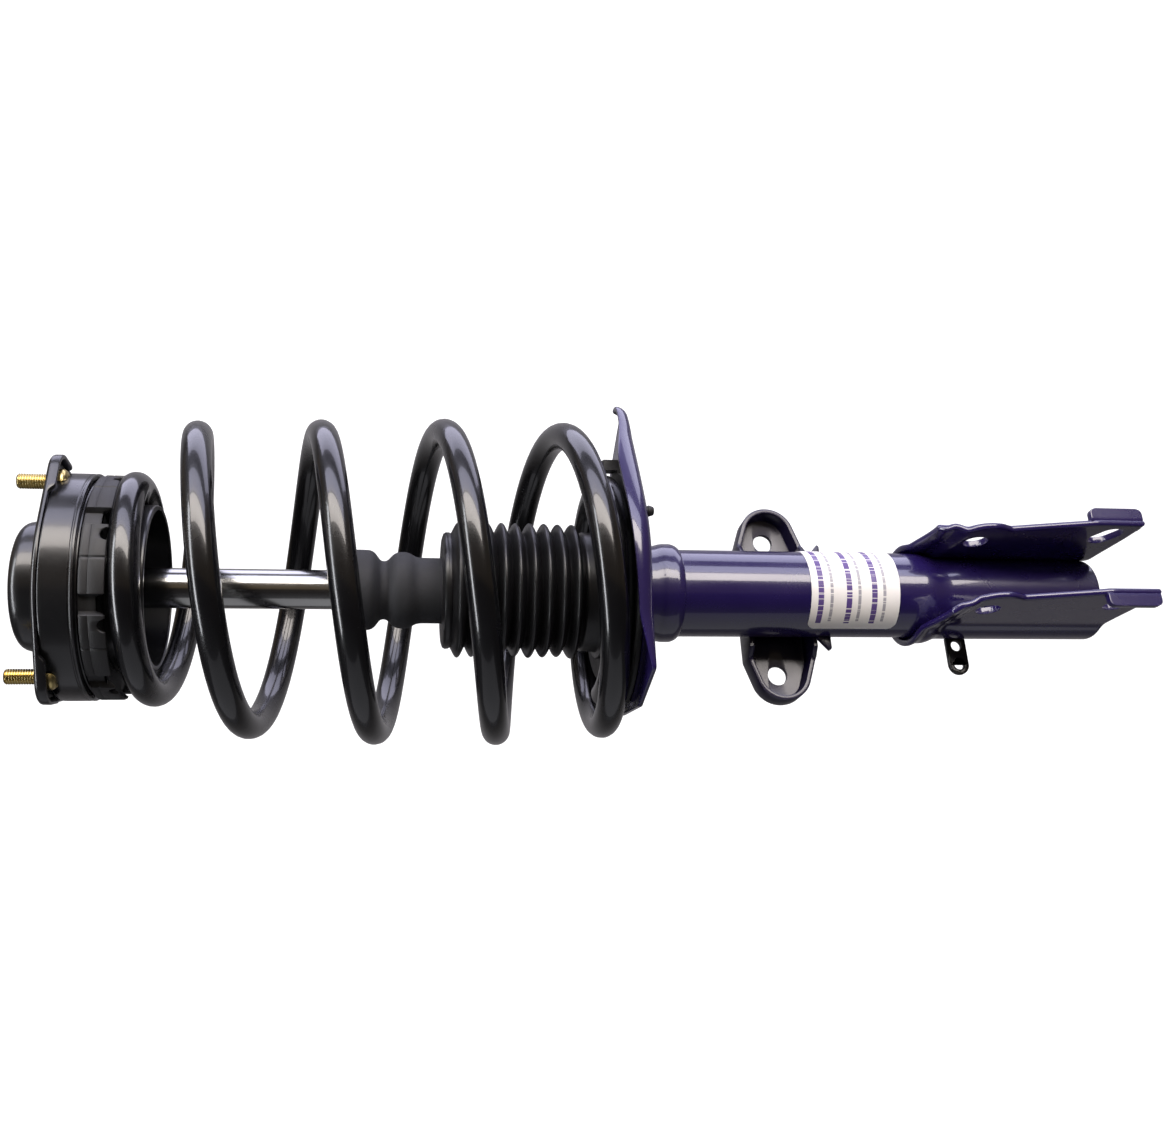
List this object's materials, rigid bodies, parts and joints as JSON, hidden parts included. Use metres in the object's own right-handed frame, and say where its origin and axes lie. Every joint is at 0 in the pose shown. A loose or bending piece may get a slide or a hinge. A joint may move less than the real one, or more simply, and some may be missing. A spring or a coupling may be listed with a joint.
{
  "type": "suspension strut assembly",
  "caption": "Coil-over suspension strut with three-stud top mount, coil spring, dust boot, link ears and a forked knuckle bracket.",
  "frame": {"origin": "centre of the three tower studs on the mount plate's upper face, on the strut axis", "axes": "+Z along the strut towards the car body; the knuckle bracket opens to -Y and its bolts run along X"},
  "size_m": [0.1856, 0.1835, 0.623],
  "materials": {
    "mount_black": "gloss black paint",
    "yellow_zinc": "yellow zinc plating",
    "rubber": "moulded natural rubber",
    "steel": "plain machined steel",
    "bearing_steel": "ground bearing steel",
    "chrome": "hard chrome, polished",
    "sintered_iron": "sintered iron",
    "bearing_plastic": "filled sliding plastic",
    "spring_black": "gloss black powder coat",
    "bump_foam": "microcellular urethane, matte charcoal",
    "indigo_paint": "gloss indigo paint",
    "boot_rubber": "semi-gloss moulded thermoplastic rubber",
    "label_film": "cream vinyl label"
  },
  "bodies": {
    "top_mount": {"mount_plate": "mount_black", "mount_can": "mount_black", "mount_cup": "mount_black", "mount_studs": "yellow_zinc", "mount_rubber": "rubber", "center_sleeve": "steel", "rod_washers": "steel", "rod_nut": "steel", "bearing_upper_race": "bearing_steel", "piston_rod": "chrome", "rebound_stop": "steel", "piston": "sintered_iron", "piston_band": "bearing_plastic", "piston_shims": "bearing_steel", "piston_nut": "steel"},
    "bearing": {"bearing_cage": "bearing_plastic", "bearing_balls": "bearing_steel"},
    "upper_seat": {"bearing_lower_race": "bearing_steel", "upper_spring_seat": "mount_black", "upper_isolator": "rubber", "coil_spring": "spring_black"},
    "stop": {"bump_stop": "bump_foam"},
    "housing": {"strut_tube": "indigo_paint", "tube_cap": "steel", "oil_seal": "rubber", "rod_guide": "sintered_iron", "guide_bush": "bearing_plastic", "pressure_tube": "steel", "base_valve": "sintered_iron", "end_cap": "indigo_paint", "lower_spring_seat": "indigo_paint", "seat_collar": "indigo_paint", "lower_isolator": "rubber", "dust_boot": "boot_rubber", "link_bracket": "indigo_paint", "knuckle_bracket": "indigo_paint", "hose_bracket": "mount_black", "tube_label": "label_film"}
  },
  "joints": [
    {"name": "steering", "type": "hinge", "parent": "top_mount", "child": "upper_seat", "pos_m": [0, 0, -0.012], "axis": [0, 0, 1], "range_deg": [-40, 40]},
    {"name": "bearing_roll", "type": "hinge", "parent": "top_mount", "child": "bearing", "pos_m": [0, 0, -0.012], "axis": [0, 0, 1], "range_deg": [-20, 20]},
    {"name": "compression", "type": "slide", "parent": "upper_seat", "child": "housing", "axis": [0, 0, 1], "range_m": [0, 0.15], "stiffness_N_per_m": 27000, "springref_m": -0.05, "deforming": ["coil_spring", "dust_boot"]},
    {"name": "stop_slide", "type": "slide", "parent": "top_mount", "child": "stop", "axis": [0, 0, 1], "range_m": [0, 0.095]}
  ],
  "couplings": [
    {"joint": "bearing_roll", "follows": "steering", "ratio": 0.5},
    {"joint": "stop_slide", "follows": "compression", "ratio": 0.62}
  ]
}
